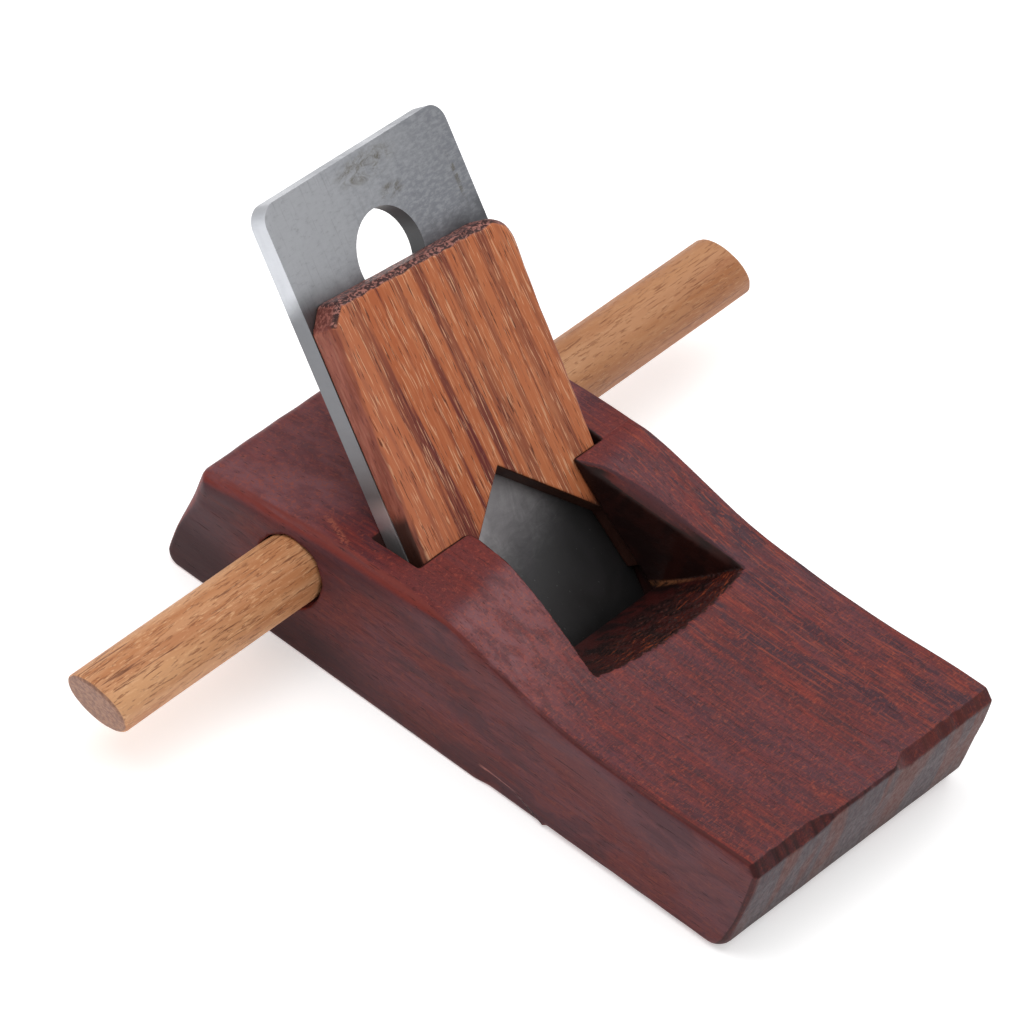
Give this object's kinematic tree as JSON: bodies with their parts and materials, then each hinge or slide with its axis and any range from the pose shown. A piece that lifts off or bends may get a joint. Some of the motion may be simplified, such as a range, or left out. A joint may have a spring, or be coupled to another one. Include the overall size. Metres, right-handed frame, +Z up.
{
  "type": "wooden block plane",
  "caption": "Short wooden hand plane: waisted hardwood body with an open throat, a steel iron held by a forked wedge, and a round push-through cross handle",
  "frame": {"origin": "Middle of the body's length and width on the sole plane, just behind the cutting edge", "axes": "+X points to the toe (direction of cut), +Z is up from the sole, +Y completes a right-handed frame and runs along the cross handle"},
  "size_m": [0.1161, 0.1646, 0.0607],
  "materials": {
    "body_wood": "dense dark red-brown hardwood, oiled, satin",
    "iron_steel": "ground grey steel, satin, light stains",
    "wedge_wood": "striped orange-red hardwood, planed",
    "handle_wood": "tan straight-grained hardwood dowel, sanded"
  },
  "bodies": {
    "body": {"body": "body_wood"},
    "iron": {"iron": "iron_steel"},
    "wedge": {"wedge": "wedge_wood"},
    "cross_handle": {"cross_handle": "handle_wood"}
  },
  "joints": [
    {"name": "iron_slide", "type": "slide", "parent": "body", "child": "iron", "axis": [-0.7071, 0, 0.7071], "range_m": [-0.0006, 0.036]},
    {"name": "wedge_slide", "type": "slide", "parent": "body", "child": "wedge", "axis": [-0.7071, 0, 0.7071], "range_m": [0, 0.036]},
    {"name": "handle_slide", "type": "slide", "parent": "body", "child": "cross_handle", "axis": [0, 0.9999, 0.014], "range_m": [-0.02, 0.112]}
  ]
}
